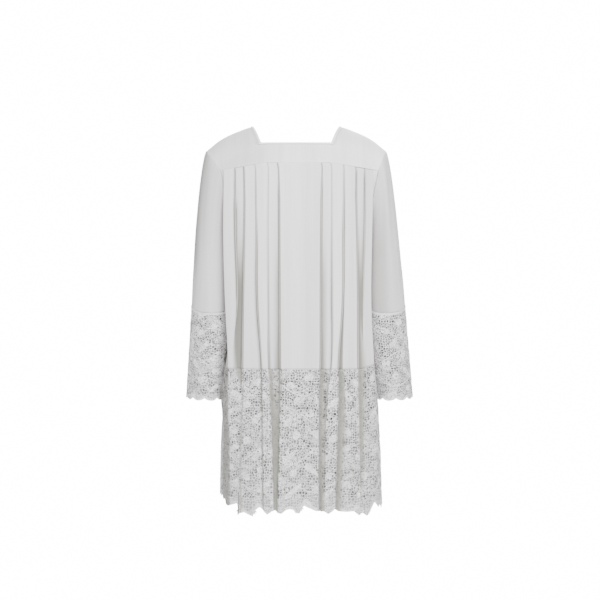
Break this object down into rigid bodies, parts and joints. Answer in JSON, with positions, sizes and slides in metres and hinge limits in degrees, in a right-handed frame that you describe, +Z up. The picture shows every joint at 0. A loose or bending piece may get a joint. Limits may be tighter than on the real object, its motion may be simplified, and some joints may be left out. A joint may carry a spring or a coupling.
{
  "type": "lace surplice",
  "caption": "White surplice as worn: square neck, shoulder yoke, pleated body, long wide sleeves, and deep floral lace at the cuffs and hem with scalloped edges.",
  "frame": {"origin": "middle of the neck opening, at the height where the yoke rests on a wearer's shoulders", "axes": "+Z up, -Y towards the garment's front, +X towards the wearer's left"},
  "size_m": [0.611, 0.3721, 1.0237],
  "materials": {
    "cloth": "matt crepe, white",
    "lace": "embroidered net lace, white",
    "trim": "narrow satin binding and braid, white"
  },
  "bodies": {
    "root": {"neck_binding": "trim", "yoke_back": "cloth", "yoke_front": "cloth", "body_back": "cloth", "body_front": "cloth", "hem_lace_back": "lace", "hem_lace_front": "lace", "sleeve_left": "cloth", "sleeve_right": "cloth", "cuff_trim_left": "trim", "cuff_trim_right": "trim", "cuff_lace_left_back": "lace", "cuff_lace_left_front": "lace", "cuff_lace_right_back": "lace", "cuff_lace_right_front": "lace"}
  },
  "joints": []
}
